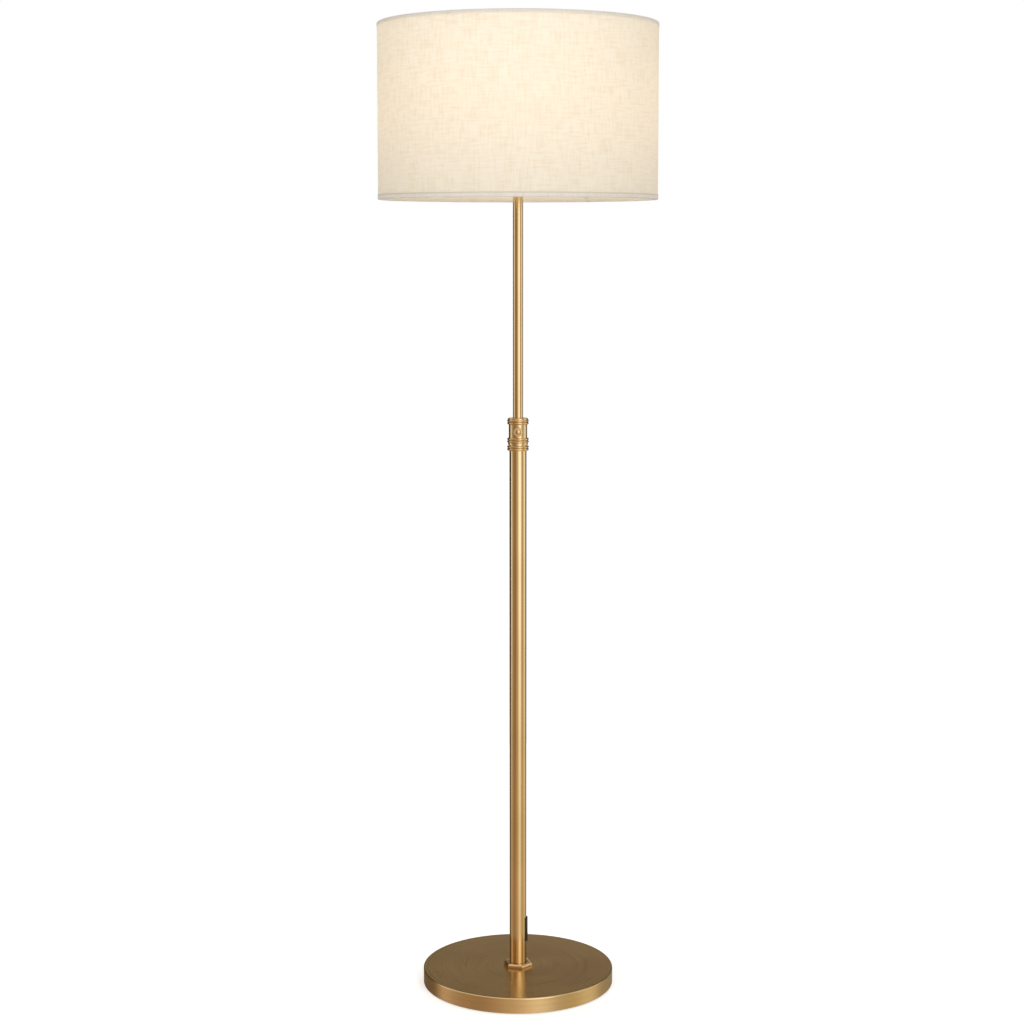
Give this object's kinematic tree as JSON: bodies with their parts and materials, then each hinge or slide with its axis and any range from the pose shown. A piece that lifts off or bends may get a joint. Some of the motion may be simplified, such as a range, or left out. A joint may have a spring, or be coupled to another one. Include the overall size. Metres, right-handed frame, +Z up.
{
  "type": "telescopic floor lamp",
  "caption": "Telescopic floor lamp: weighted round base, two-piece brass pole with lock collar, thumbscrew and rocker switch, and a lit linen drum shade on a wire spider.",
  "frame": {"origin": "on the floor, on the axis of the pole, under the centre of the base", "axes": "+Z up along the pole; the thumbscrew faces -Y, the rocker switch +X and the cord inlet +Y"},
  "size_m": [0.4359, 0.436, 1.524],
  "materials": {
    "antique_brass": "satin brushed antique brass plate, lacquered",
    "zinc_steel": "bright zinc plate",
    "cast_iron": "bare casting, black primer",
    "foam_rubber": "closed-cell foam",
    "black_plastic": "moulded, fine texture",
    "gloss_black": "moulded, polished",
    "nylon": "natural nylon",
    "contact_brass": "bright stamped brass",
    "lead_sheath": "smooth sheath",
    "ceramic": "white steatite",
    "white_wire": "white powder coat",
    "styrene_liner": "matt translucent sheet",
    "linen": "off-white slub linen",
    "cloth_tape": "folded linen tape",
    "bulb_shell": "nickel-plated shell",
    "black_glass": "vitrified insulator",
    "bulb_glass": "clear glass",
    "filament": "phosphor-coated filament, lit"
  },
  "bodies": {
    "stand": {"base_pad": "foam_rubber", "bottom_plate": "zinc_steel", "plate_screws": "zinc_steel", "base_weight": "cast_iron", "base_cover": "antique_brass", "cord_bushing": "black_plastic", "clamp_nut": "zinc_steel", "clamp_washer": "zinc_steel", "foot_nipple": "zinc_steel", "foot_nut": "antique_brass", "tube_plug": "zinc_steel", "lower_tube": "antique_brass", "switch_housing": "black_plastic", "switch_terminals": "contact_brass", "lower_lead": "lead_sheath", "slack_lead": "lead_sheath", "lower_collar_ring": "antique_brass", "lock_collar": "antique_brass", "guide_bush": "nylon"},
    "rocker": {"switch_rocker": "gloss_black"},
    "screw_tip": {"pressure_pad": "nylon"},
    "screw": {"thumbscrew": "antique_brass"},
    "slider": {"stop_bush": "nylon"},
    "head": {"end_ferrule": "contact_brass", "retaining_ring": "zinc_steel", "upper_tube": "antique_brass", "upper_lead": "lead_sheath", "tube_coupler": "zinc_steel", "coupler_locknut": "zinc_steel", "lampholder_cap": "antique_brass", "lampholder_body": "black_plastic", "contact_block": "ceramic", "centre_contact": "contact_brass", "socket_shell": "bulb_shell", "holder_screws": "contact_brass", "shade_ring_nut": "black_plastic", "spider_arms": "white_wire", "lower_ring": "white_wire", "upper_ring": "white_wire", "shade_liner": "styrene_liner", "shade_linen": "linen", "top_tape": "cloth_tape", "bottom_tape": "cloth_tape", "bulb_cap": "bulb_shell", "bulb_insulator": "black_glass", "bulb_contact": "bulb_shell", "bulb_glass": "bulb_glass", "bulb_stem": "bulb_glass", "filament_wires": "zinc_steel", "led_filaments": "filament"}
  },
  "joints": [
    {"name": "pole_slide", "type": "slide", "parent": "stand", "child": "slider", "axis": [0, 0, 1], "range_m": [-0.32, 0.13], "deforming": ["slack_lead"]},
    {"name": "pole_swivel", "type": "hinge", "parent": "slider", "child": "head", "pos_m": [0, 0, 0.74], "axis": [0, 0, 1], "range_deg": [-170, 170]},
    {"name": "pad_slide", "type": "slide", "parent": "stand", "child": "screw_tip", "axis": [0, -1, 0], "range_m": [0, 0.0017]},
    {"name": "screw_turn", "type": "hinge", "parent": "screw_tip", "child": "screw", "pos_m": [0, -0.02, 0.89325], "axis": [0, -1, 0], "range_deg": [0, 720]},
    {"name": "rocker_tilt", "type": "hinge", "parent": "stand", "child": "rocker", "pos_m": [0.0116, 0, 0.0855], "axis": [0, 1, 0], "range_deg": [0, 12]}
  ],
  "couplings": [
    {"joint": "pad_slide", "follows": "screw_turn", "m_per_rad": 0.00012732}
  ]
}
